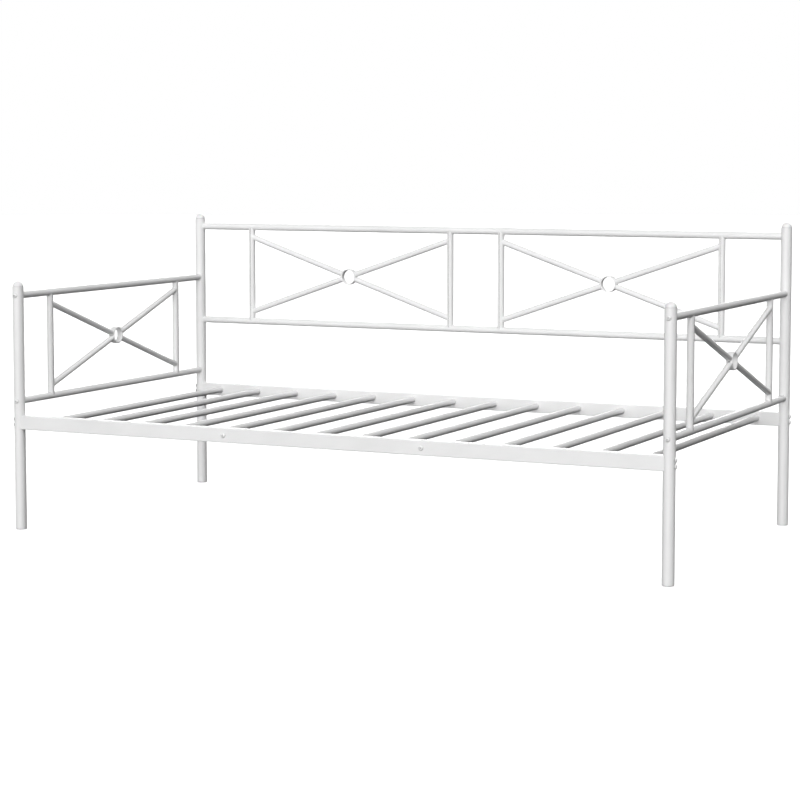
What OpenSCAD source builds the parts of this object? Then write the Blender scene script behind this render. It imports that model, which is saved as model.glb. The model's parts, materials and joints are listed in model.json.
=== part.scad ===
// Daybed: a welded steel tube back frame, two bolted side panels with crossed
// diagonals, two bed rails and a deck of round slats. Millimetres, +Z up, +X along the bed,
// the back at +Y. The origin is on the floor, under the middle of the bed.

/* [Overall] */
// Distance between post centres along the bed
span_x = 1950; // [1900:1:2000]
// Distance between post centres across the bed
span_y = 1013; // [980:1:1040]
// Height of the front posts, caps included
front_h = 712; // [705:1:730]
// Height of the rear posts, caps included
rear_h = 877; // [870:1:900]

/* [Posts] */
// Outside diameter of the post tubes
post_d = 32; // [30:0.5:35]
// Wall of the post tubes
post_wall = 1.5; // [1.2:0.1:2]

/* [Post caps] */
// Diameter of the domed cap
dome_d = 30.4; // [29:0.1:30.6]
// Height of the whole cap above the tube
dome_h = 15.5; // [14.5:0.1:16]
// Height of the straight collar under the dome
dome_collar_h = 1.2; // [0.8:0.1:1.8]
// Depth of the plug inside the tube
cap_plug_l = 18; // [12:1:19]
// Wall of the hollow plugs of the caps and feet
plug_wall = 2; // [1.5:0.1:3]

/* [Feet] */
// Height of the foot under the end of the tube
foot_h = 4; // [3:0.5:6]
// Rounding of the foot's lower edge
foot_edge_r = 1.5; // [1:0.1:2]
// Depth of the foot's plug inside the tube
foot_plug_l = 20; // [15:1:30]

/* [Bed rails] */
// Height of the bed rail tube
rail_h = 40; // [38:1:45]
// Thickness of the bed rail tube
rail_t = 25; // [20:1:28]
// Wall of the bed rail tube
rail_wall = 1.5; // [1.2:0.1:2]
// Outside corner radius of the bed rail tube
rail_corner_r = 2.5; // [2:0.1:3]
// Height of the bed rail's centre line, and of the slats' centre lines
deck_z = 309; // [300:1:320]

/* [Slats] */
// Number of slats
slat_count = 14; // [14]
// Distance between slat centres
slat_pitch = 137.8; // [134:0.1:140]
// Outside diameter of a slat tube
slat_d = 19; // [18:0.5:22]
// Wall of a slat tube
slat_wall = 1.2; // [1:0.1:1.5]

/* [Back and side panels] */
// Distance from the top of a post down to the centre of its panel's top rail
top_rail_drop = 40; // [39:1:45]
// Distance between the centres of a panel's top and lower rails
panel_rail_gap = 302; // [295:1:310]
// Diameter of the back frame's rails and uprights
back_tube_d = 20.5; // [19:0.5:22]
// Diameter of the side panels' rails and uprights
side_tube_d = 19.5; // [18:0.5:20]
// Wall of the rails, uprights and diagonals
panel_wall = 1.2; // [1:0.1:1.5]
// Distance between the centres of the two uprights of a crossed cell
cell_w = 698; // [690:1:704]
// Distance between the two uprights at the middle of the back
back_mid_gap = 169.6; // [160:0.1:180]

/* [Diagonals and rings] */
// Diameter of a diagonal of the back frame
back_diag_d = 18; // [16:0.5:18.5]
// Diameter of a diagonal of a side panel
side_diag_d = 17; // [16:0.5:18.5]
// Height above or below the ring at which a diagonal meets its upright
diag_rise = 120.4; // [119:0.1:124]
// Gap left for the weld where two diagonals meet beside a ring
weld_gap = 0.4; // [0.2:0.1:0.8]
// Outside diameter of the ring
ring_d = 50; // [50:1:54]
// Wall of the ring
ring_wall = 4; // [2:0.5:6]
// Depth of the ring through the panel
ring_depth = 18.5; // [18.5:0.5:24]

/* [Bolts] */
// Thread diameter
bolt_d = 8; // [8]
// Diameter of the clearance holes in the posts
bolt_hole_d = 8.5; // [8.4:0.1:9]
// Length of a bolt that passes through a post
bolt_l = 50; // [48:1:52]
// Length of the short screw in a bed rail
screw_l = 12; // [10:1:16]
// Diameter of the button head
head_d = 14; // [13:0.1:14]
// Height of the button head
head_h = 4.4; // [3.6:0.1:4.6]
// Diameter of the flat on top of the head
head_flat_d = 6.4; // [6:0.1:7]
// Width across the flats of the hex socket
hex_af = 5; // [4:0.1:5]
// Depth of the hex socket
hex_depth = 2.6; // [2:0.1:2.8]
// Distance between the two bolts at each end of a bed rail
rail_bolt_pitch = 16; // [15:0.1:18]
// Distance of the short screws from the middle of the bed
screw_x = 298; // [290:1:310]

/* [Threaded inserts] */
// Length of the blocks and plugs that the bolts screw into
insert_l = 20; // [16:1:24]
// Gap between the post and the insert inside the tube
insert_setback = 2; // [1:0.5:4]
// Diameter of the nut behind a short screw
nut_d = 15; // [14:0.5:16]
// Thickness of the nut behind a short screw
nut_t = 6.5; // [6:0.5:8]

/* [Hidden] */
$fn = 64;
// Extra length that a cutter runs past the solid that it cuts
past = 1;
half_x = span_x / 2;
half_y = span_y / 2;
post_r = post_d / 2;
left = -1;
right = 1;
front = -1;
rear = 1;
upper = 1;
lower = -1;

plug_r = post_r - post_wall;
side_top_z = front_h - top_rail_drop;
back_top_z = rear_h - top_rail_drop;
side_mid_z = side_top_z - panel_rail_gap / 2;
back_mid_z = back_top_z - panel_rail_gap / 2;
back_cell_x = (back_mid_gap + cell_w) / 2;
slat_l = span_y - rail_t;
hex_r = hex_af / sqrt(3);
// Height of a sphere's centre above a rim of diameter d, where the sphere also passes
// through a smaller circle of diameter top_d, h above the rim
function dome_centre(d, top_d, h) = (top_d * top_d / 4 + h * h - d * d / 4) / (2 * h);

steel_white = [0.93, 0.93, 0.93];
plastic_white = [0.97, 0.97, 0.97];
zinc_grey = [0.7, 0.71, 0.73];

// ---- Shared shapes ----

// Round bar along Z, centred on the origin
module bar(d, l) {
    cylinder(d = d, h = l, center = true);
}

// Round tube along Z, centred on the origin
module tube(d, wall, l) {
    difference() {
        bar(d, l);
        bar(d - 2 * wall, l + 2 * past);
    }
}

// Turn what lies along Z to lie along X
module along_x() {
    rotate([0, 90, 0]) children();
}

// Turn what lies along Z to lie along Y
module along_y() {
    rotate([-90, 0, 0]) children();
}

// The outside of a post, as a cutter for what meets it
module post_cutter(side, end) {
    translate([side * half_x, end * half_y, 0]) cylinder(d = post_d, h = rear_h);
}

// ---- Posts, caps and feet ----

function post_height(end) = end == front ? front_h : rear_h;

// Tube from the foot to the cap, drilled through for the bed rail bolts and the panel bolts
module post(side, end) {
    tube_l = post_height(end) - dome_h - foot_h;
    color(steel_white) translate([side * half_x, end * half_y, 0]) difference() {
        translate([0, 0, foot_h + tube_l / 2]) tube(post_d, post_wall, tube_l);
        for (row = [lower, upper])
            translate([0, 0, deck_z + row * rail_bolt_pitch / 2])
                along_x() bar(bolt_hole_d, post_d + 2 * past);
        for (row = [0, 1])
            translate([0, 0, side_top_z - row * panel_rail_gap])
                along_y() bar(bolt_hole_d, post_d + 2 * past);
    }
}

// Hollow plug, open at its far end, from z = 0 upwards
module plug(l) {
    difference() {
        cylinder(r = plug_r, h = l);
        translate([0, 0, plug_wall]) cylinder(r = plug_r - plug_wall, h = l);
    }
}

// Domed plastic cap: a part of a sphere on a short collar, with a plug below
module post_cap(side, end) {
    cap_h = dome_h - dome_collar_h;
    centre_z = dome_centre(dome_d, 0, cap_h);
    color(plastic_white)
        translate([side * half_x, end * half_y, post_height(end) - dome_h]) {
            cylinder(d = dome_d, h = dome_collar_h);
            translate([0, 0, dome_collar_h]) intersection() {
                translate([0, 0, centre_z]) sphere(r = cap_h - centre_z);
                cylinder(d = dome_d, h = cap_h);
            }
            mirror([0, 0, 1]) plug(cap_plug_l);
        }
}

// Plastic foot: a disc with a rounded lower edge and a plug above
module foot(side, end) {
    color(plastic_white) translate([side * half_x, end * half_y, 0]) {
        cylinder(r = post_r - foot_edge_r, h = foot_h);
        translate([0, 0, foot_edge_r]) cylinder(r = post_r, h = foot_h - foot_edge_r);
        translate([0, 0, foot_edge_r]) rotate_extrude()
            translate([post_r - foot_edge_r, 0]) circle(r = foot_edge_r);
        translate([0, 0, foot_h]) plug(foot_plug_l);
    }
}

// ---- Back frame ----

module back_rail(z) {
    color(steel_white) difference() {
        translate([0, half_y, z]) along_x() tube(back_tube_d, panel_wall, span_x);
        for (side = [left, right]) post_cutter(side, rear);
    }
}

// Vertical tube whose ends are shaped to the two rails, which run along X above and below it
module upright(d) {
    difference() {
        tube(d, panel_wall, panel_rail_gap);
        for (row = [lower, upper])
            translate([0, 0, row * panel_rail_gap / 2]) along_x() bar(d, 2 * d);
    }
}

// side is the half of the back, and edge is the left or the right of that half's cell
module back_upright(side, edge) {
    color(steel_white)
        translate([side * back_cell_x + edge * cell_w / 2, half_y, back_mid_z])
            upright(back_tube_d);
}

// ---- Crossed cells, drawn in the XZ plane around their centre ----

// One diagonal from the ring to an upright, shaped to both, and cut level just off the ring's
// middle, where it meets the other diagonal of its side
module diagonal(edge, row, d, upright_d) {
    run = cell_w / 2;
    tilt = atan2(row * diag_rise, edge * run);
    full_l = norm([run, diag_rise]);
    difference() {
        rotate([0, 90 - tilt, 0]) translate([0, 0, full_l / 2]) tube(d, panel_wall, full_l);
        along_y() bar(ring_d, 2 * ring_depth);
        translate([edge * run, 0, 0]) bar(upright_d, panel_rail_gap);
        translate([0, 0, row * (weld_gap - ring_d) / 2])
            cube([2 * ring_d, 2 * ring_depth, ring_d], center = true);
    }
}

module diagonals(d, upright_d) {
    color(steel_white)
        for (edge = [left, right], row = [lower, upper]) diagonal(edge, row, d, upright_d);
}

module ring() {
    color(steel_white) along_y() tube(ring_d, ring_wall, ring_depth);
}

// Places a cell's parts in one half of the back
module at_back_cell(side) {
    translate([side * back_cell_x, half_y, back_mid_z]) children();
}

// Places a cell's parts in a side panel, turned to lie across the bed
module at_side_cell(side) {
    translate([side * half_x, 0, side_mid_z]) rotate([0, 0, 90]) children();
}

// ---- Side panels ----

module side_rail(side, z) {
    color(steel_white) difference() {
        translate([side * half_x, 0, z]) along_y() tube(side_tube_d, panel_wall, span_y);
        for (end = [front, rear]) post_cutter(side, end);
    }
}

module side_upright(side, end) {
    color(steel_white)
        translate([side * half_x, end * cell_w / 2, side_mid_z])
            rotate([0, 0, 90]) upright(side_tube_d);
}

// ---- Bed rails and slats ----

// Box along X with rounded long edges, centred on the origin
module rounded_bar(l, t, h, r) {
    cube([l, t - 2 * r, h], center = true);
    cube([l, t, h - 2 * r], center = true);
    for (y = [-1, 1], z = [-1, 1])
        translate([0, y * (t / 2 - r), z * (h / 2 - r)]) along_x() bar(2 * r, l);
}

module bed_rail(end) {
    color(steel_white) difference() {
        translate([0, end * half_y, deck_z]) difference() {
            rounded_bar(span_x, rail_t, rail_h, rail_corner_r);
            rounded_bar(
                span_x + 2 * past, rail_t - 2 * rail_wall, rail_h - 2 * rail_wall,
                rail_corner_r - rail_wall);
            for (side = [left, right])
                translate([side * screw_x, end * rail_t / 2, 0]) along_y() bar(bolt_hole_d, rail_t);
        }
        for (side = [left, right]) post_cutter(side, end);
    }
}

module slat(number) {
    x = (number - (slat_count + 1) / 2) * slat_pitch;
    color(steel_white) translate([x, 0, deck_z]) along_y() tube(slat_d, slat_wall, slat_l);
}

// ---- Fasteners and what they screw into ----

// Button head bolt along Z: its head stands above z = 0 and its shank runs down
module bolt(l) {
    centre_z = dome_centre(head_d, head_flat_d, head_h);
    sphere_r = norm([head_d / 2, centre_z]);
    difference() {
        union() {
            intersection() {
                translate([0, 0, centre_z]) sphere(r = sphere_r);
                cylinder(d = head_d, h = head_h);
            }
            mirror([0, 0, 1]) cylinder(d = bolt_d, h = l);
        }
        translate([0, 0, head_h - hex_depth]) cylinder(r = hex_r, h = hex_depth + past, $fn = 6);
    }
}

// Bolts through the front or rear posts into the side panels' rails
module panel_bolts(end) {
    color(steel_white)
        for (side = [left, right], row = [0, 1])
            translate([
                side * half_x, end * (half_y + post_r), side_top_z - row * panel_rail_gap
            ]) rotate([-end * 90, 0, 0]) bolt(bolt_l);
}

// Two bolts at each corner, through the posts into the bed rails
module bed_rail_bolts() {
    color(steel_white)
        for (side = [left, right], end = [front, rear], row = [lower, upper])
            translate([
                side * (half_x + post_r), end * half_y, deck_z + row * rail_bolt_pitch / 2
            ]) rotate([0, side * 90, 0]) bolt(bolt_l);
}

// Short screws in the outer faces of the bed rails
module rail_fixing_screws() {
    color(steel_white)
        for (side = [left, right], end = [front, rear])
            translate([side * screw_x, end * (half_y + rail_t / 2), deck_z])
                rotate([-end * 90, 0, 0]) bolt(screw_l);
}

// Blocks inside the ends of the bed rails, each with two threaded holes
module bed_rail_end_blocks() {
    x = half_x - post_r - insert_setback - insert_l / 2;
    color(zinc_grey)
        for (side = [left, right], end = [front, rear])
            translate([side * x, end * half_y, deck_z]) difference() {
                rounded_bar(
                    insert_l, rail_t - 2 * rail_wall, rail_h - 2 * rail_wall,
                    rail_corner_r - rail_wall);
                for (row = [lower, upper])
                    translate([0, 0, row * rail_bolt_pitch / 2])
                        along_x() bar(bolt_d, insert_l + 2 * past);
            }
}

// Threaded plugs inside the ends of the side panels' rails
module panel_rail_inserts() {
    y = half_y - post_r - insert_setback - insert_l / 2;
    color(zinc_grey)
        for (side = [left, right], end = [front, rear], row = [0, 1])
            translate([side * half_x, end * y, side_top_z - row * panel_rail_gap])
                along_y() difference() {
                    bar(side_tube_d - 2 * panel_wall, insert_l);
                    bar(bolt_d, insert_l + 2 * past);
                }
}

// Nuts welded inside the outer walls of the bed rails, behind the short screws
module rail_fixing_nuts() {
    color(zinc_grey)
        for (side = [left, right], end = [front, rear])
            translate([
                side * screw_x, end * (half_y + rail_t / 2 - rail_wall - nut_t / 2), deck_z
            ]) along_y() difference() {
                bar(nut_d, nut_t);
                bar(bolt_d, nut_t + 2 * past);
            }
}

post(left, front);  // front_left_post
post(right, front);  // front_right_post
post(left, rear);  // rear_left_post
post(right, rear);  // rear_right_post
post_cap(left, front);  // front_left_post_cap
post_cap(right, front);  // front_right_post_cap
post_cap(left, rear);  // rear_left_post_cap
post_cap(right, rear);  // rear_right_post_cap
foot(left, front);  // front_left_foot
foot(right, front);  // front_right_foot
foot(left, rear);  // rear_left_foot
foot(right, rear);  // rear_right_foot
back_rail(back_top_z);  // back_top_rail
back_rail(back_top_z - panel_rail_gap);  // back_lower_rail
back_upright(left, left);  // back_outer_left_upright
back_upright(left, right);  // back_inner_left_upright
back_upright(right, left);  // back_inner_right_upright
back_upright(right, right);  // back_outer_right_upright
at_back_cell(left) diagonals(back_diag_d, back_tube_d);  // back_left_diagonals
at_back_cell(right) diagonals(back_diag_d, back_tube_d);  // back_right_diagonals
at_back_cell(left) ring();  // back_left_ring
at_back_cell(right) ring();  // back_right_ring
side_rail(left, side_top_z);  // left_panel_top_rail
side_rail(left, side_top_z - panel_rail_gap);  // left_panel_lower_rail
side_upright(left, front);  // left_panel_front_upright
side_upright(left, rear);  // left_panel_rear_upright
at_side_cell(left) diagonals(side_diag_d, side_tube_d);  // left_panel_diagonals
at_side_cell(left) ring();  // left_panel_ring
side_rail(right, side_top_z);  // right_panel_top_rail
side_rail(right, side_top_z - panel_rail_gap);  // right_panel_lower_rail
side_upright(right, front);  // right_panel_front_upright
side_upright(right, rear);  // right_panel_rear_upright
at_side_cell(right) diagonals(side_diag_d, side_tube_d);  // right_panel_diagonals
at_side_cell(right) ring();  // right_panel_ring
bed_rail(front);  // front_bed_rail
bed_rail(rear);  // rear_bed_rail
slat(1);  // slat_01
slat(2);  // slat_02
slat(3);  // slat_03
slat(4);  // slat_04
slat(5);  // slat_05
slat(6);  // slat_06
slat(7);  // slat_07
slat(8);  // slat_08
slat(9);  // slat_09
slat(10);  // slat_10
slat(11);  // slat_11
slat(12);  // slat_12
slat(13);  // slat_13
slat(14);  // slat_14
panel_bolts(front);  // front_panel_bolts
panel_bolts(rear);  // rear_panel_bolts
bed_rail_bolts();
rail_fixing_screws();
bed_rail_end_blocks();
panel_rail_inserts();
rail_fixing_nuts();
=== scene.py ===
"""The daybed's looks: painted tubes with their welds, bolts, caps and feet.

Metres, +X along the bed, the back at +Y, +Z up.
"""
import json
import math
import random

import bmesh
import bpy
import numpy as np
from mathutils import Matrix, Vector


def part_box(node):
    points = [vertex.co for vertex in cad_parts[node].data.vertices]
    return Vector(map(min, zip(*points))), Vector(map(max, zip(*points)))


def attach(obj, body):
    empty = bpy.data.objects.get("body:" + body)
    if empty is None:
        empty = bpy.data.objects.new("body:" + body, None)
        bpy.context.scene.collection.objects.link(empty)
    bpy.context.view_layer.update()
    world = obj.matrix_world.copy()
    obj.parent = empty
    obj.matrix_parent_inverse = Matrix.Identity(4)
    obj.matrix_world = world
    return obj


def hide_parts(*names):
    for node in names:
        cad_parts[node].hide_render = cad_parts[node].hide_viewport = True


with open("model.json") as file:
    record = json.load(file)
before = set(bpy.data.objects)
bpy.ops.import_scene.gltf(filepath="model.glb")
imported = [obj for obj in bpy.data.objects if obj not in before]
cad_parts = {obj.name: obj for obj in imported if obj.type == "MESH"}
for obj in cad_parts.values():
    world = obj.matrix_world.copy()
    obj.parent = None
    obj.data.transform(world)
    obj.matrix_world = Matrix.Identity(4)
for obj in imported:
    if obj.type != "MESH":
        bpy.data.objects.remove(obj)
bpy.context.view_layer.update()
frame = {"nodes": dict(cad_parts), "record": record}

X, Y, Z = np.eye(3)
SIDES = {"left": -1.0, "right": 1.0}
ENDS = {"front": -1.0, "rear": 1.0}

# ---- Sizes that a node's box doesn't give, in metres ----

POST_WALL = 0.0015
PANEL_WALL = 0.0012
SLAT_WALL = 0.0012
TUBE_RIM = 0.0004          # rounding of a cut tube end
RIM_HOLD = 0.001           # from a rim to the ring of vertices that keeps the side straight
MID_ROUND = 0.3            # where the middle of a rounding lies, as a share of its radius

CAP_RADIUS = 0.0152
CAP_COLLAR = 0.0012        # straight part under the dome
CAP_SEAM_DEPTH = 0.0009    # groove under the collar
CAP_SEAM_HEIGHT = 0.0006
CAP_CHAMFER_IN = 0.0003    # lower edge of the collar
CAP_CHAMFER_UP = 0.0002
CAP_STEPS = 18
CAP_CROWN = 87             # degrees up the dome where the fan round its pole starts
CAP_PLUG = 0.018
FOOT_EDGE = 0.0015
FOOT_STEPS = 8
FOOT_HEIGHT = 0.004
FOOT_PLUG = 0.020
PLUG_WALL = 0.002
PLUG_LEAD = 0.0006         # chamfer at a plug's open end

RING_WALL = 0.004
RING_EDGE = 0.0009
RING_STEPS = 4
BACK_DIAGONAL_RADIUS = 0.009
SIDE_DIAGONAL_RADIUS = 0.0085
DIAGONAL_RISE = 0.1204     # from the ring's centre to where a diagonal meets its upright

RAIL_WALL = 0.0015
RAIL_CORNER = 0.0025
RAIL_STEPS = 6
RAIL_HOLD = 0.0006         # from a corner to the vertex that keeps the flat beside it flat

BOLT_RADIUS = 0.004
HEAD_RADIUS = 0.007
HEAD_HEIGHT = 0.0044
HEAD_FLAT_RADIUS = 0.0032
HEAD_RIM = 0.0005          # rounding of the head's rim
HEAD_STEPS = 8
SOCKET_ACROSS_FLATS = 0.005
SOCKET_BEVEL = 0.0002
SOCKET_DEPTH = 0.0026
SOCKET_CONE = 0.0005       # drill point at the socket's floor
POST_BOLT = 0.050
RAIL_SCREW = 0.012
RAIL_BOLT_PITCH = 0.016
SCREW_FROM_MIDDLE = 0.298

WELD_LEG = 0.0016          # how far a weld runs up each of the two surfaces that it joins
RING_WELD_LEG = 0.0010
SLAT_WELD_LEG = 0.0008
WELD_SINK = 0.0004         # how far its hidden sides lie inside those surfaces
WELD_FULLNESS = 0.34       # 0 is a hollow fillet, 0.5 a flat one
WELD_RIPPLES = 24
WELD_RIPPLE_DEPTH = 0.07
WELD_WANDER = 0.16
WELD_WAVES = (1, 2, 3)     # waves of the wander in one turn
WELD_WAVE_SIZE = (0.3, 1.0)
WELD_STEPS = (0.0, 0.2, 0.4, 0.6, 0.8, 1.0)

AROUND_POST = 96
AROUND_TUBE = 64
AROUND_SMALL = 48
AROUND_WELD = 96
SHARP_ANGLE = math.radians(32)

SEED = 7
dice = random.Random(SEED)


# ---- Mesh building ----

class Shape:
    """The vertices and faces of one piece, gathered loft by loft."""

    def __init__(self):
        self.points = []
        self.faces = []

    def loft(self, rings, closed=False, start_pole=None, end_pole=None):
        """Skins a row of closed rings of equal length. closed joins the last ring to the first,
        and a pole closes that end of the row with a fan."""
        rings = [np.asarray(r, float) for r in rings]
        count = len(rings[0])
        first = len(self.points)
        for ring in rings:
            self.points.extend(ring)
        rows = len(rings)
        for row in range(rows if closed else rows - 1):
            a = first + row * count
            b = first + (row + 1) % rows * count
            for k in range(count):
                n = (k + 1) % count
                self.faces.append((a + k, a + n, b + n, b + k))
        if start_pole is not None:
            self._fan(first, count, start_pole, flip=True)
        if end_pole is not None:
            self._fan(first + (rows - 1) * count, count, end_pole, flip=False)

    def _fan(self, start, count, pole, flip):
        tip = len(self.points)
        self.points.append(np.asarray(pole, float))
        for k in range(count):
            a, b = start + k, start + (k + 1) % count
            self.faces.append((b, a, tip) if flip else (a, b, tip))

    def piece(self, node, slot):
        """Makes the object that stands for a CAD node."""
        mesh = bpy.data.meshes.new("look_" + node)
        mesh.from_pydata([tuple(p) for p in self.points], [], self.faces)
        mesh.update()
        recalculate_normals(mesh)
        mesh.polygons.foreach_set("use_smooth", [True] * len(mesh.polygons))
        mesh.set_sharp_from_angle(angle=SHARP_ANGLE)
        mesh.materials.append(MATERIALS[slot])
        thing = bpy.data.objects.new("look_" + node, mesh)
        bpy.context.scene.collection.objects.link(thing)
        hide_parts(node)
        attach(thing, "root")


def recalculate_normals(mesh):
    work = bmesh.new()
    work.from_mesh(mesh)
    bmesh.ops.recalc_face_normals(work, faces=work.faces)
    work.to_mesh(mesh)
    work.free()


def unit(v):
    return v / np.linalg.norm(v, axis=-1, keepdims=True)


def square_to(axis):
    """Two unit vectors that make a right-handed frame with axis."""
    helper = X if abs(axis[0]) < 0.5 else Y
    u = unit(np.cross(helper, axis))
    return u, np.cross(axis, u)


def turns(count):
    return np.linspace(0, 2 * math.pi, count, endpoint=False)


def circle(axis, radius, count):
    """Offsets of a circle round the origin, square to axis."""
    u, v = square_to(axis)
    t = turns(count)[:, None]
    return radius * (np.cos(t) * u + np.sin(t) * v)


def arc(centre, radius, start, end, steps):
    """Points (radius, height) of an arc in a turned profile. Angles in degrees from the
    radius axis."""
    return [
        (centre[0] + radius * math.cos(a), centre[1] + radius * math.sin(a))
        for a in np.radians(np.linspace(start, end, steps + 1))
    ]


def turned(shape, base, axis, profile, count, start_pole=None, end_pole=None, closed=False):
    """A turned part: profile rows are (radius, height above base), and poles are heights."""
    rows = [base + axis * h + circle(axis, r, count) for r, h in profile]
    shape.loft(
        rows,
        closed=closed,
        start_pole=None if start_pole is None else base + axis * start_pole,
        end_pole=None if end_pole is None else base + axis * end_pole,
    )


# ---- What a tube can end on ----

class Round:
    """The outside of a round tube."""

    def __init__(self, centre, axis, radius):
        self.centre, self.axis, self.radius = centre, axis, radius

    def across(self, v):
        """The part of one vector, or of each row of an array, that is square to the axis."""
        return v - np.multiply.outer(v @ self.axis, self.axis)

    def distance(self, points, direction):
        """How far each point travels along direction before it meets the surface."""
        w, d = self.across(points - self.centre), self.across(direction)
        a, b = d @ d, w @ d
        c = (w * w).sum(axis=1) - self.radius ** 2
        return (-b - np.sqrt(b * b - a * c)) / a

    def outward(self, points):
        return unit(self.across(points - self.centre))

    def snap(self, points):
        off = self.across(points - self.centre)
        return points - off + unit(off) * self.radius


class Flat:
    """A flat wall."""

    def __init__(self, point, normal):
        self.point, self.normal = point, normal

    def distance(self, points, direction):
        return (self.point - points) @ self.normal / (direction @ self.normal)

    def outward(self, points):
        return np.tile(self.normal, (len(points), 1))

    def snap(self, points):
        return points - np.outer((points - self.point) @ self.normal, self.normal)


class Nearest:
    """Two surfaces, of which a tube ends on the one that it meets first."""

    def __init__(self, *surfaces):
        self.surfaces = surfaces

    def distance(self, points, direction):
        return np.min([s.distance(points, direction) for s in self.surfaces], axis=0)

    def pick(self, points, values):
        gaps = [np.linalg.norm(s.snap(points) - points, axis=1) for s in self.surfaces]
        return np.where((np.argmin(gaps, axis=0) == 0)[:, None], values[0], values[1])

    def outward(self, points):
        return self.pick(points, [s.outward(points) for s in self.surfaces])

    def snap(self, points):
        return self.pick(points, [s.snap(points) for s in self.surfaces])


# ---- Tubes and welds ----

def sleeve(shape, middle, axis, outer, inner, ends):
    """A hollow bar whose two ends are shaped to the surfaces that they meet. ends[0] is at the
    start of axis."""
    rings = []
    for offsets, order in ((outer, (0, 1)), (inner, (1, 0))):
        for side in order:
            away = axis if side else -axis
            line = middle + offsets
            rings.append(line + away * ends[side].distance(line, away)[:, None])
    shape.loft(rings, closed=True)


def tube(shape, middle, axis, radius, wall, ends, legs=(WELD_LEG, WELD_LEG)):
    """A round tube between two surfaces, with a weld round each end that has a leg."""
    sleeve(
        shape, middle, axis,
        circle(axis, radius, AROUND_TUBE), circle(axis, radius - wall, AROUND_TUBE), ends,
    )
    for side in (0, 1):
        if legs[side]:
            weld(shape, middle, axis if side else -axis, radius, ends[side], legs[side])


def weld_legs(leg):
    """The weld's size at each step round a tube: fine ripples on a slow wander."""
    t = turns(AROUND_WELD)
    ripple = WELD_RIPPLE_DEPTH * np.abs(np.sin(t * WELD_RIPPLES / 2 + dice.uniform(0, math.pi)))
    wander = sum(
        dice.uniform(*WELD_WAVE_SIZE) / k * np.cos(k * t + dice.uniform(0, 2 * math.pi))
        for k in WELD_WAVES
    )
    return leg * (1 - ripple + WELD_WANDER * wander)


def weld(shape, middle, towards, radius, target, size):
    """A fillet weld round the end of a round tube that heads towards target."""
    out = circle(towards, 1.0, AROUND_WELD)
    line = middle + out * radius
    corner = line + towards * target.distance(line, towards)[:, None]
    wall_out = target.outward(corner)
    along_wall = unit(out - (out * wall_out).sum(axis=1)[:, None] * wall_out)
    leg = weld_legs(size)[:, None]
    on_tube = corner - towards * leg
    on_wall = target.snap(corner + along_wall * leg)
    control = corner + (along_wall - towards) * leg * WELD_FULLNESS
    rows = [corner - (out + wall_out) * WELD_SINK, on_tube - out * WELD_SINK]
    for t in WELD_STEPS:
        rows.append((1 - t) ** 2 * on_tube + 2 * t * (1 - t) * control + t * t * on_wall)
    rows.append(on_wall - wall_out * WELD_SINK)
    shape.loft(rows, closed=True)


# ---- Reading places from the CAD boxes ----

def low_high(node):
    low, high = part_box(node)
    return np.array(low), np.array(high)


def centre_of(node):
    low, high = low_high(node)
    return (low + high) / 2


def half_size(node):
    low, high = low_high(node)
    return (high - low) / 2


def post_of(side, end):
    return f"{end}_{side}_post"


def post_round(side, end):
    """The surface of a post, as something that a rail ends on."""
    node = post_of(side, end)
    return Round(centre_of(node), Z, half_size(node)[0])


def as_round(node, axis):
    """The surface of a rail or upright that lies along axis."""
    across = int(np.argmin(half_size(node)))
    return Round(centre_of(node), axis, half_size(node)[across])


# ---- The pieces ----

def make_post(side, end):
    node = post_of(side, end)
    low, high = low_high(node)
    radius = (high[0] - low[0]) / 2
    bore = radius - POST_WALL
    bend = MID_ROUND * TUBE_RIM
    length = high[2] - low[2]
    profile = [
        (bore, 0.0), (radius - TUBE_RIM, 0.0),
        (radius - bend, bend), (radius, TUBE_RIM), (radius, RIM_HOLD),
        (radius, length - RIM_HOLD), (radius, length - TUBE_RIM),
        (radius - bend, length - bend), (radius - TUBE_RIM, length), (bore, length),
    ]
    shape = Shape()
    base = np.array([*centre_of(node)[:2], low[2]])
    turned(shape, base, Z, profile, AROUND_POST, closed=True)
    shape.piece(node, slot_of(node))


def make_cap(side, end):
    """A dome on a short collar with a groove under it, and the plug below."""
    node = post_of(side, end) + "_cap"
    tube_top = low_high(post_of(side, end))[1]
    top = low_high(node)[1][2] - tube_top[2]
    dome = top - CAP_COLLAR
    sphere = (dome ** 2 + CAP_RADIUS ** 2) / (2 * dome)
    centre = (0.0, top - sphere)
    rim = math.degrees(math.asin((CAP_COLLAR - centre[1]) / sphere))
    plug = half_size(post_of(side, end))[0] - POST_WALL
    profile = arc(centre, sphere, CAP_CROWN, rim, CAP_STEPS)
    profile += [(CAP_RADIUS, CAP_SEAM_HEIGHT + CAP_CHAMFER_UP)]
    profile += [(CAP_RADIUS - CAP_CHAMFER_IN, CAP_SEAM_HEIGHT)]
    waist = CAP_RADIUS - CAP_SEAM_DEPTH
    profile += [(waist, CAP_SEAM_HEIGHT), (waist, 0.0), (plug, 0.0)]
    profile += [(plug, -CAP_PLUG + PLUG_LEAD), (plug - PLUG_LEAD, -CAP_PLUG)]
    profile += [(plug - PLUG_WALL, -CAP_PLUG), (plug - PLUG_WALL, -PLUG_WALL)]
    shape = Shape()
    base = np.array([*centre_of(node)[:2], tube_top[2]])
    turned(shape, base, Z, profile, AROUND_POST, start_pole=top, end_pole=-PLUG_WALL)
    shape.piece(node, slot_of(node))


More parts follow.
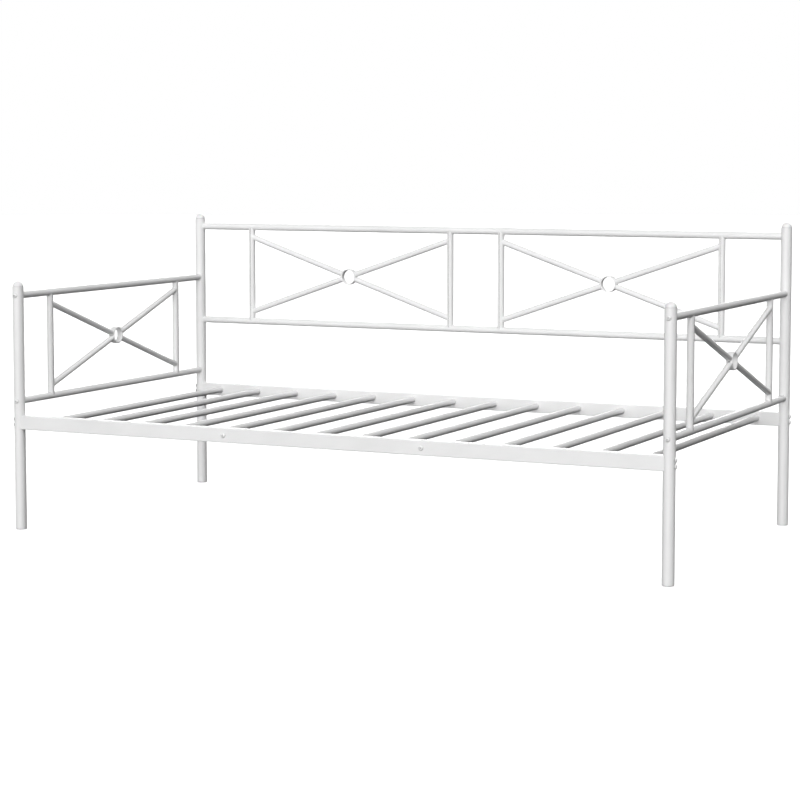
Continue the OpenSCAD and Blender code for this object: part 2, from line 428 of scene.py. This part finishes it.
def make_foot(side, end):
    """A disc with a rounded lower edge, and the plug above it."""
    node = f"{end}_{side}_foot"
    radius = half_size(node)[0]
    plug = radius - POST_WALL
    top = FOOT_HEIGHT + FOOT_PLUG
    profile = arc((radius - FOOT_EDGE, FOOT_EDGE), FOOT_EDGE, -90, 0, FOOT_STEPS)
    profile += [(radius, FOOT_HEIGHT - TUBE_RIM), (radius - TUBE_RIM, FOOT_HEIGHT)]
    profile += [(plug, FOOT_HEIGHT)]
    profile += [(plug, top - PLUG_LEAD), (plug - PLUG_LEAD, top)]
    profile += [(plug - PLUG_WALL, top), (plug - PLUG_WALL, FOOT_HEIGHT + PLUG_WALL)]
    shape = Shape()
    base = np.array([*centre_of(node)[:2], 0.0])
    turned(
        shape, base, Z, profile, AROUND_POST, start_pole=0.0, end_pole=FOOT_HEIGHT + PLUG_WALL)
    shape.piece(node, slot_of(node))


def make_rail(node, axis, ends, leg):
    """A round rail between two posts. A bolted rail only touches them, and has no weld leg."""
    across = int(np.argmin(half_size(node)))
    shape = Shape()
    tube(
        shape, centre_of(node), axis, half_size(node)[across], PANEL_WALL, ends,
        legs=(leg, leg))
    shape.piece(node, slot_of(node))


def make_upright(node, lower, upper):
    shape = Shape()
    tube(shape, centre_of(node), Z, half_size(node)[0], PANEL_WALL, (lower, upper))
    shape.piece(node, slot_of(node))


def make_diagonals(node, ring_node, across, radius, uprights):
    """Four tubes from the ring to the two uprights. The two on a side also meet each other,
    level with the ring's middle. across is the panel's direction in plan."""
    centre = centre_of(ring_node)
    facing = np.cross(across, Z)
    ring = Round(centre, facing, half_size(ring_node)[2])
    shape = Shape()
    for side, upright in zip((-1.0, 1.0), uprights):
        run = abs((upright.centre - centre) @ across)
        for row in (-1.0, 1.0):
            axis = unit(side * run * across + row * DIAGONAL_RISE * Z)
            middle = centre + (side * run * across + row * DIAGONAL_RISE * Z) / 2
            inner_end = Nearest(ring, Flat(centre, row * Z))
            tube(
                shape, middle, axis, radius, PANEL_WALL, (inner_end, upright),
                legs=(RING_WELD_LEG, WELD_LEG))
    shape.piece(node, slot_of(node))


def make_ring(node, axis):
    """A short tube with rounded edges."""
    size = half_size(node)
    radius, half = size[2], float(abs(size @ axis))
    inner = radius - RING_WALL
    outside, inside, edge = radius - RING_EDGE, inner + RING_EDGE, half - RING_EDGE
    profile = arc((outside, edge), RING_EDGE, 0, 90, RING_STEPS)
    profile += arc((inside, edge), RING_EDGE, 90, 180, RING_STEPS)
    profile += arc((inside, -edge), RING_EDGE, 180, 270, RING_STEPS)
    profile += arc((outside, -edge), RING_EDGE, 270, 360, RING_STEPS)
    shape = Shape()
    turned(shape, centre_of(node), axis, profile, AROUND_POST, closed=True)
    shape.piece(node, slot_of(node))


def rounded_rectangle(half_y, half_z, radius):
    """Offsets of a section square to X, with a point on each flat just past every corner."""
    offsets = []
    corners = ((1, 1, 0), (-1, 1, 90), (-1, -1, 180), (1, -1, 270))
    for sy, sz, start in corners:
        centre = (sy * (half_y - radius), sz * (half_z - radius))
        points = arc(centre, radius, start, start + 90, RAIL_STEPS)
        before = tangent_step(points[0], start - 90, RAIL_HOLD)
        after = tangent_step(points[-1], start + 180, RAIL_HOLD)
        offsets += [before, *points, after]
    return np.array([(0.0, y, z) for y, z in offsets])


def tangent_step(point, degrees, length):
    a = math.radians(degrees)
    return point[0] + length * math.cos(a), point[1] + length * math.sin(a)


def make_bed_rail(end):
    node = f"{end}_bed_rail"
    size = half_size(node)
    outer = rounded_rectangle(size[1], size[2], RAIL_CORNER)
    inner = rounded_rectangle(size[1] - RAIL_WALL, size[2] - RAIL_WALL, RAIL_CORNER - RAIL_WALL)
    ends = (post_round("left", end), post_round("right", end))
    shape = Shape()
    sleeve(shape, centre_of(node), X, outer, inner, ends)
    shape.piece(node, slot_of(node))


def make_slat(node):
    walls = []
    for end, facing in (("front", Y), ("rear", -Y)):
        rail = f"{end}_bed_rail"
        walls.append(Flat(centre_of(rail) + facing * half_size(rail)[1], facing))
    shape = Shape()
    tube(
        shape, centre_of(node), Y, half_size(node)[0], SLAT_WALL, walls,
        legs=(SLAT_WELD_LEG, SLAT_WELD_LEG))
    shape.piece(node, slot_of(node))


# ---- Bolts ----

def hexagon(axis, across_flats, count):
    """Offsets of a hexagon, with as many points as the circle that it is cut in."""
    u, v = square_to(axis)
    t = turns(count)
    sector = math.pi / 3
    local = (t + sector / 2) % sector - sector / 2
    radius = across_flats / 2 / np.cos(local)
    return radius[:, None] * (np.cos(t)[:, None] * u + np.sin(t)[:, None] * v)


def head_profile():
    """The button head from the shank, over its rim and crown, to the edge of its flat."""
    rise = HEAD_HEIGHT - HEAD_RIM
    centre = (
        HEAD_FLAT_RADIUS ** 2 + rise ** 2 - HEAD_RADIUS ** 2) / (2 * rise) + HEAD_RIM
    sphere = math.hypot(HEAD_RADIUS, HEAD_RIM - centre)
    low = math.degrees(math.atan2(HEAD_RIM - centre, HEAD_RADIUS))
    high = math.degrees(math.atan2(HEAD_HEIGHT - centre, HEAD_FLAT_RADIUS))
    bend = MID_ROUND * HEAD_RIM
    rim = [(BOLT_RADIUS, 0.0), (HEAD_RADIUS - HEAD_RIM, 0.0), (HEAD_RADIUS - bend, bend)]
    return rim + arc((0.0, centre), sphere, low, high, HEAD_STEPS)


def bolt(shape, seat, axis, length):
    """A button head bolt whose head stands above seat and whose shank runs down from it."""
    profile = [(BOLT_RADIUS - PLUG_LEAD, -length), (BOLT_RADIUS, -length + PLUG_LEAD)]
    profile += head_profile()
    rows = [seat + axis * h + circle(axis, r, AROUND_SMALL) for r, h in profile]
    socket = hexagon(axis, SOCKET_ACROSS_FLATS, AROUND_SMALL)
    mouth = hexagon(axis, SOCKET_ACROSS_FLATS + 2 * SOCKET_BEVEL, AROUND_SMALL)
    floor = HEAD_HEIGHT - SOCKET_DEPTH
    rows.append(seat + axis * HEAD_HEIGHT + mouth)
    rows.append(seat + axis * (HEAD_HEIGHT - SOCKET_BEVEL) + socket)
    rows.append(seat + axis * floor + socket)
    shape.loft(
        rows, start_pole=seat - axis * length, end_pole=seat + axis * (floor - SOCKET_CONE))


def make_panel_bolts(end):
    """Through the posts into the side panels' rails."""
    shape = Shape()
    facing = ENDS[end] * Y
    for side in SIDES:
        post = post_round(side, end)
        for row in ("top", "lower"):
            seat = post.centre + facing * post.radius
            seat[2] = centre_of(f"{side}_panel_{row}_rail")[2]
            bolt(shape, seat, facing, POST_BOLT)
    shape.piece(f"{end}_panel_bolts", slot_of(f"{end}_panel_bolts"))


def make_bed_rail_bolts():
    """Two through each post into the bed rail, one above the other."""
    shape = Shape()
    for side, sign in SIDES.items():
        for end in ENDS:
            post = post_round(side, end)
            for row in (-0.5, 0.5):
                seat = post.centre + sign * X * post.radius
                seat[2] = centre_of(f"{end}_bed_rail")[2] + row * RAIL_BOLT_PITCH
                bolt(shape, seat, sign * X, POST_BOLT)
    shape.piece("bed_rail_bolts", slot_of("bed_rail_bolts"))


def make_rail_screws():
    shape = Shape()
    for end, facing in ENDS.items():
        rail = f"{end}_bed_rail"
        for sign in SIDES.values():
            seat = centre_of(rail) + facing * Y * half_size(rail)[1] + sign * X * SCREW_FROM_MIDDLE
            bolt(shape, seat, facing * Y, RAIL_SCREW)
    shape.piece("rail_fixing_screws", slot_of("rail_fixing_screws"))


# ---- Materials ----
# Noise and speck scales are in cells per metre, and bump depths in metres.

NOISE_LOW, NOISE_HIGH = 0.3, 0.7   # most of a noise's values lie between these

COAT_TONE, COAT_TONE_SHADES = 7.0, (0.965, 1.015)
SPECK_SCALE, SPECK_EDGES = 160.0, (0.035, 0.07)
SPECK_COLOUR = (0.80, 0.79, 0.77)
COAT_GRAIN, COAT_GRAIN_GLOSS = 90.0, (-0.05, 0.07)
PEEL_SCALE, PEEL_DEPTH = 520.0, 0.00035
FINE_PEEL_SCALE, FINE_PEEL_DEPTH, FINE_PEEL_SHARE = 1900.0, 0.0001, 0.5
COAT_SPECULAR = 0.26

# Painted shade: the colour is darkened where an occlusion node finds nearby surfaces, in creases,
# sockets and joints.
CREASE_REACH = 0.004
CREASE_SAMPLES = 4
CREASE_SHADE_COLOUR = (0.30, 0.30, 0.30)
CREASE_ENDS = (0.20, 0.72)         # openness where a crease is darkest and where it ends

PLASTIC_TONE, PLASTIC_TONE_SHADES = 60.0, (0.97, 1.02)
PLASTIC_GRAIN, PLASTIC_GRAIN_GLOSS = 1500.0, (-0.04, 0.06)
PLASTIC_GRAIN_BUMP, PLASTIC_GRAIN_DEPTH = 0.12, 0.0001
PLASTIC_DEPTH_WEIGHT, PLASTIC_DEPTH = 0.06, 0.002

ZINC_CLOUD, ZINC_CLOUD_SHADES = 140.0, (0.88, 1.08)
ZINC_GRAIN, ZINC_GRAIN_GLOSS = 1300.0, (0.28, 0.44)
ZINC_GRAIN_BUMP, ZINC_GRAIN_DEPTH = 0.2, 0.0001

WHITE = (1.0, 1.0, 1.0)

COATS = {  # slot: roughness, strength of the orange peel
    "frame_enamel": (0.36, 0.16),
    "rail_enamel": (0.38, 0.18),
    "slat_enamel": (0.40, 0.16),
    "bolt_enamel": (0.30, 0.10),
}
PLASTICS = {"cap_plastic": 0.34, "foot_plastic": 0.48}  # slot: roughness


def slot_of(node):
    return SLOT_OF_NODE[node]


def link(tree, source, output, target, socket):
    tree.links.new(source.outputs[output], target.inputs[socket])


def noise(tree, place, scale, detail):
    node = tree.nodes.new("ShaderNodeTexNoise")
    node.inputs["Scale"].default_value = scale
    node.inputs["Detail"].default_value = detail
    link(tree, place, "Object", node, "Vector")
    return node


def ramp(tree, source, output, stops):
    """A ramp from the value of one node to the colours of two stops."""
    node = tree.nodes.new("ShaderNodeValToRGB")
    for element, (place, colour) in zip(node.color_ramp.elements, stops):
        element.position = place
        element.color = (*colour, 1.0)
    link(tree, source, output, node, "Fac")
    return node


def shade(colour, factor):
    return tuple(min(1.0, c * factor) for c in colour)


def tinted(tree, source, colour, shades):
    """A colour that a noise varies between two factors."""
    darkest, lightest = shades
    stops = [(NOISE_LOW, shade(colour, darkest)), (NOISE_HIGH, shade(colour, lightest))]
    return ramp(tree, source, "Fac", stops)


def set_roughness(tree, source, shader, low, high):
    """Varies the shader's roughness between two values with a noise."""
    node = tree.nodes.new("ShaderNodeMapRange")
    node.inputs["From Min"].default_value = NOISE_LOW
    node.inputs["From Max"].default_value = NOISE_HIGH
    node.inputs["To Min"].default_value = low
    node.inputs["To Max"].default_value = high
    link(tree, source, "Fac", node, "Value")
    link(tree, node, "Result", shader, "Roughness")


def bump(tree, source, strength, distance, under=None):
    """Relief from a noise, on top of the relief under it."""
    node = tree.nodes.new("ShaderNodeBump")
    node.inputs["Strength"].default_value = strength
    node.inputs["Distance"].default_value = distance
    link(tree, source, "Fac", node, "Height")
    if under is not None:
        link(tree, under, "Normal", node, "Normal")
    return node


def multiply(tree, a, a_output, b, b_output):
    """The product of two nodes' colours."""
    mix = tree.nodes.new("ShaderNodeMix")
    mix.data_type, mix.blend_type = "RGBA", "MULTIPLY"
    mix.inputs["Factor"].default_value = 1.0
    tree.links.new(a.outputs[a_output], mix.inputs["A"])
    tree.links.new(b.outputs[b_output], mix.inputs["B"])
    return mix


def painted_corner_shade(tree, source, output):
    """Darkens a colour where surfaces meet: painted shade in creases, sockets and corners, found
    by an occlusion node.
    """
    crease = tree.nodes.new("ShaderNodeAmbientOcclusion")
    crease.samples = CREASE_SAMPLES
    crease.inputs["Distance"].default_value = CREASE_REACH
    darkest, end = CREASE_ENDS
    painted_shade = ramp(tree, crease, "AO", [(darkest, CREASE_SHADE_COLOUR), (end, WHITE)])
    return multiply(tree, source, output, painted_shade, "Color")


def new_material(name):
    material = bpy.data.materials.new(name)
    material.use_nodes = True
    tree = material.node_tree
    return material, tree, tree.nodes["Principled BSDF"]


def coat_colour(tree, place, colour):
    """Slow changes of tone, and sparse specks in the coat."""
    tone = noise(tree, place, COAT_TONE, detail=3.0)
    tint = tinted(tree, tone, colour, COAT_TONE_SHADES)
    specks = tree.nodes.new("ShaderNodeTexVoronoi")
    specks.inputs["Scale"].default_value = SPECK_SCALE
    link(tree, place, "Object", specks, "Vector")
    inner, outer = SPECK_EDGES
    dust = ramp(tree, specks, "Distance", [(inner, SPECK_COLOUR), (outer, WHITE)])
    return multiply(tree, tint, "Color", dust, "Color")


def powder_coat(name, colour, gloss, peel):
    """White powder coat with a fine orange peel."""
    material, tree, shader = new_material(name)
    place = tree.nodes.new("ShaderNodeTexCoord")
    coat = coat_colour(tree, place, colour)
    # The base colour carries painted shade in the corners.
    link(tree, painted_corner_shade(tree, coat, "Result"), "Result", shader, "Base Color")
    grain = noise(tree, place, COAT_GRAIN, detail=4.0)
    smoother, rougher = COAT_GRAIN_GLOSS
    set_roughness(tree, grain, shader, gloss + smoother, gloss + rougher)
    orange = bump(tree, noise(tree, place, PEEL_SCALE, detail=1.5), peel, PEEL_DEPTH)
    fine_noise = noise(tree, place, FINE_PEEL_SCALE, detail=2.0)
    fine = bump(tree, fine_noise, peel * FINE_PEEL_SHARE, FINE_PEEL_DEPTH, under=orange)
    link(tree, fine, "Normal", shader, "Normal")
    shader.inputs["Specular IOR Level"].default_value = COAT_SPECULAR
    return material


def moulded_plastic(name, colour, gloss):
    """White moulded plastic with a fine spark-eroded texture."""
    material, tree, shader = new_material(name)
    place = tree.nodes.new("ShaderNodeTexCoord")
    tone = noise(tree, place, PLASTIC_TONE, detail=2.0)
    tint = tinted(tree, tone, colour, PLASTIC_TONE_SHADES)
    # The base colour carries painted shade in the corners.
    link(tree, painted_corner_shade(tree, tint, "Color"), "Result", shader, "Base Color")
    grain = noise(tree, place, PLASTIC_GRAIN, detail=3.0)
    smoother, rougher = PLASTIC_GRAIN_GLOSS
    set_roughness(tree, grain, shader, gloss + smoother, gloss + rougher)
    relief = bump(tree, grain, PLASTIC_GRAIN_BUMP, PLASTIC_GRAIN_DEPTH)
    link(tree, relief, "Normal", shader, "Normal")
    shader.inputs["Subsurface Weight"].default_value = PLASTIC_DEPTH_WEIGHT
    shader.inputs["Subsurface Scale"].default_value = PLASTIC_DEPTH
    return material


def zinc_plate(name, colour):
    """Bright zinc plate with a fine grain and a cloudy passivation."""
    material, tree, shader = new_material(name)
    place = tree.nodes.new("ShaderNodeTexCoord")
    cloud = noise(tree, place, ZINC_CLOUD, detail=4.0)
    link(tree, tinted(tree, cloud, colour, ZINC_CLOUD_SHADES), "Color", shader, "Base Color")
    grain = noise(tree, place, ZINC_GRAIN, detail=3.0)
    set_roughness(tree, grain, shader, *ZINC_GRAIN_GLOSS)
    relief = bump(tree, grain, ZINC_GRAIN_BUMP, ZINC_GRAIN_DEPTH)
    link(tree, relief, "Normal", shader, "Normal")
    shader.inputs["Metallic"].default_value = 1.0
    return material


def make_materials():
    colours = {m["slot"]: tuple(m["base_color"]) for m in frame["record"]["materials"]}
    made = {}
    for slot, (gloss, peel) in COATS.items():
        made[slot] = powder_coat(slot, colours[slot], gloss, peel)
    for slot, gloss in PLASTICS.items():
        made[slot] = moulded_plastic(slot, colours[slot], gloss)
    made["zinc_steel"] = zinc_plate("zinc_steel", colours["zinc_steel"])
    return made


# ---- Stage: floor, light and camera ----

CAMERA_PLACE = Vector((2.7905, -5.8204, 1.0928))
CAMERA_YAW = math.radians(25.714)
CAMERA_PITCH = math.radians(4.985)
CAMERA_LENS = 101.71
CAMERA_SENSOR = 36.0
CAMERA_RISE = -0.07        # vertical shift
CAMERA_FAR = 200.0

SKY_ABOVE = (0.09, 0.09, 0.09)
SKY_BELOW = (0.0, 0.0, 0.0)
SKY_BLEND = 0.01

STAGE_RADIUS = 30.0
STAGE_SIDES = 64
WALL_HEIGHT = 14.0
FLOOR_DROP = -0.0002       # height of the floor, just below the feet
FLOOR_TONE, FLOOR_SHADES = 0.8, ((0.89, 0.89, 0.89), (0.91, 0.91, 0.91))
FLOOR_ROUGHNESS = 0.9
FLOOR_SPECULAR = 0.1
FLOOR_GLOW = 0.62


def make_camera():
    data = bpy.data.cameras.new("camera")
    data.lens = CAMERA_LENS
    data.sensor_width = CAMERA_SENSOR
    data.shift_y = CAMERA_RISE
    data.clip_end = CAMERA_FAR
    camera = bpy.data.objects.new("camera", data)
    camera.location = CAMERA_PLACE
    camera.rotation_euler = (math.pi / 2 - CAMERA_PITCH, 0.0, CAMERA_YAW)
    bpy.context.scene.collection.objects.link(camera)
    bpy.context.scene.camera = camera


def stage_piece(name, points, faces, material):
    """Part of the studio. It is seen, but it throws no light on the bed."""
    mesh = bpy.data.meshes.new(name)
    mesh.from_pydata(points, [], faces)
    mesh.materials.append(material)
    thing = bpy.data.objects.new(name, mesh)
    bpy.context.scene.collection.objects.link(thing)
    thing.visible_diffuse = False
    thing.visible_glossy = False
    return thing


def stage_circle(height):
    return [
        (STAGE_RADIUS * math.cos(a), STAGE_RADIUS * math.sin(a), height)
        for a in turns(STAGE_SIDES)
    ]


def make_floor():
    """A large pale floor just under the feet, lit a little from within so that it stays pale."""
    material, tree, shader = new_material("floor_paint")
    place = tree.nodes.new("ShaderNodeTexCoord")
    tone = noise(tree, place, FLOOR_TONE, detail=2.0)
    darkest, lightest = FLOOR_SHADES
    tint = ramp(tree, tone, "Fac", [(NOISE_LOW, darkest), (NOISE_HIGH, lightest)])
    link(tree, tint, "Color", shader, "Base Color")
    shader.inputs["Roughness"].default_value = FLOOR_ROUGHNESS
    shader.inputs["Specular IOR Level"].default_value = FLOOR_SPECULAR
    shader.inputs["Emission Color"].default_value = (*WHITE, 1.0)
    shader.inputs["Emission Strength"].default_value = FLOOR_GLOW
    stage_piece("floor", stage_circle(FLOOR_DROP), [tuple(range(STAGE_SIDES))], material)


def make_backdrop():
    """A white wall all round, far behind the bed, that the lamps shine through."""
    material, _, shader = new_material("backdrop_paint")
    shader.inputs["Base Color"].default_value = (0.0, 0.0, 0.0, 1.0)
    shader.inputs["Specular IOR Level"].default_value = 0.0
    shader.inputs["Emission Color"].default_value = (*WHITE, 1.0)
    shader.inputs["Emission Strength"].default_value = 1.0
    points = stage_circle(FLOOR_DROP) + stage_circle(WALL_HEIGHT)
    faces = []
    for k in range(STAGE_SIDES):
        n = (k + 1) % STAGE_SIDES
        faces.append((k, n, STAGE_SIDES + n, STAGE_SIDES + k))
    stage_piece("backdrop", points, faces, material).visible_shadow = False


def make_world():
    """A little light from a pale sky, and none from below."""
    world = bpy.data.worlds.new("studio")
    world.use_nodes = True
    tree = world.node_tree
    background = tree.nodes["Background"]
    place = tree.nodes.new("ShaderNodeTexCoord")
    split = tree.nodes.new("ShaderNodeSeparateXYZ")
    link(tree, place, "Generated", split, "Vector")
    shades = ramp(tree, split, "Z", [(0.0, SKY_BELOW), (SKY_BLEND, SKY_ABOVE)])
    link(tree, shades, "Color", background, "Color")
    bpy.context.scene.world = world


def make_sun(name, power, softness, azimuth, elevation, shadow=True):
    """A soft distant lamp. Azimuth 0 shines from the front and 90 from the right, in degrees.
    A lamp without shadow reaches every surface that faces it."""
    data = bpy.data.lights.new(name, "SUN")
    data.energy = power
    data.use_shadow = shadow
    data.angle = math.radians(softness)
    lamp = bpy.data.objects.new(name, data)
    a, e = math.radians(azimuth), math.radians(elevation)
    source = Vector((math.sin(a) * math.cos(e), -math.cos(a) * math.cos(e), math.sin(e)))
    lamp.rotation_mode = "QUATERNION"
    lamp.rotation_quaternion = (-source).to_track_quat("-Z", "Y")
    bpy.context.scene.collection.objects.link(lamp)


# ---- Everything together ----

SLOT_OF_NODE = {s["node"]: s["material_slot"] for s in frame["record"]["subparts"]}
MATERIALS = make_materials()
HIDDEN_NODES = ("bed_rail_end_blocks", "panel_rail_inserts", "rail_fixing_nuts")


def make_posts():
    for side in SIDES:
        for end in ENDS:
            make_post(side, end)
            make_cap(side, end)
            make_foot(side, end)


def make_back():
    ends = (post_round("left", "rear"), post_round("right", "rear"))
    for row in ("top", "lower"):
        make_rail(f"back_{row}_rail", X, ends, WELD_LEG)
    lower, upper = as_round("back_lower_rail", X), as_round("back_top_rail", X)
    for half in SIDES:
        edges = [f"back_{place}_{half}_upright" for place in ("inner", "outer")]
        for node in edges:
            make_upright(node, lower, upper)
        edges.sort(key=lambda node: centre_of(node)[0])
        uprights = [as_round(node, Z) for node in edges]
        make_diagonals(
            f"back_{half}_diagonals", f"back_{half}_ring", X, BACK_DIAGONAL_RADIUS, uprights)
        make_ring(f"back_{half}_ring", Y)


def make_side_panel(side):
    ends = (post_round(side, "front"), post_round(side, "rear"))
    for row in ("top", "lower"):
        make_rail(f"{side}_panel_{row}_rail", Y, ends, 0.0)
    lower = as_round(f"{side}_panel_lower_rail", Y)
    upper = as_round(f"{side}_panel_top_rail", Y)
    edges = [f"{side}_panel_{end}_upright" for end in ENDS]
    for node in edges:
        make_upright(node, lower, upper)
    uprights = [as_round(node, Z) for node in edges]
    make_diagonals(
        f"{side}_panel_diagonals", f"{side}_panel_ring", Y, SIDE_DIAGONAL_RADIUS, uprights)
    make_ring(f"{side}_panel_ring", X)


def make_deck():
    for end in ENDS:
        make_bed_rail(end)
    for node in sorted(SLOT_OF_NODE):
        if node.startswith("slat_"):
            make_slat(node)


def make_fasteners():
    for end in ENDS:
        make_panel_bolts(end)
    make_bed_rail_bolts()
    make_rail_screws()


def paint_hidden_nodes():
    """The threaded inserts stay as the CAD has them."""
    for node in HIDDEN_NODES:
        mesh = frame["nodes"][node].data
        mesh.materials.clear()
        mesh.materials.append(MATERIALS[slot_of(node)])


make_posts()
make_back()
for panel_side in SIDES:
    make_side_panel(panel_side)
make_deck()
make_fasteners()
paint_hidden_nodes()

make_floor()
make_backdrop()
make_world()
make_sun("key", power=1.8, softness=45, azimuth=0, elevation=6)
make_sun("front", power=0.78, softness=30, azimuth=4, elevation=5, shadow=False)
make_sun("fill", power=1.15, softness=45, azimuth=38, elevation=42)
make_sun("side", power=1.15, softness=45, azimuth=148, elevation=48)
make_sun("left", power=0.5, softness=45, azimuth=266, elevation=10)
make_sun("rim", power=1.5, softness=28, azimuth=203, elevation=4)
make_camera()
bpy.context.scene.view_settings.view_transform = "Standard"
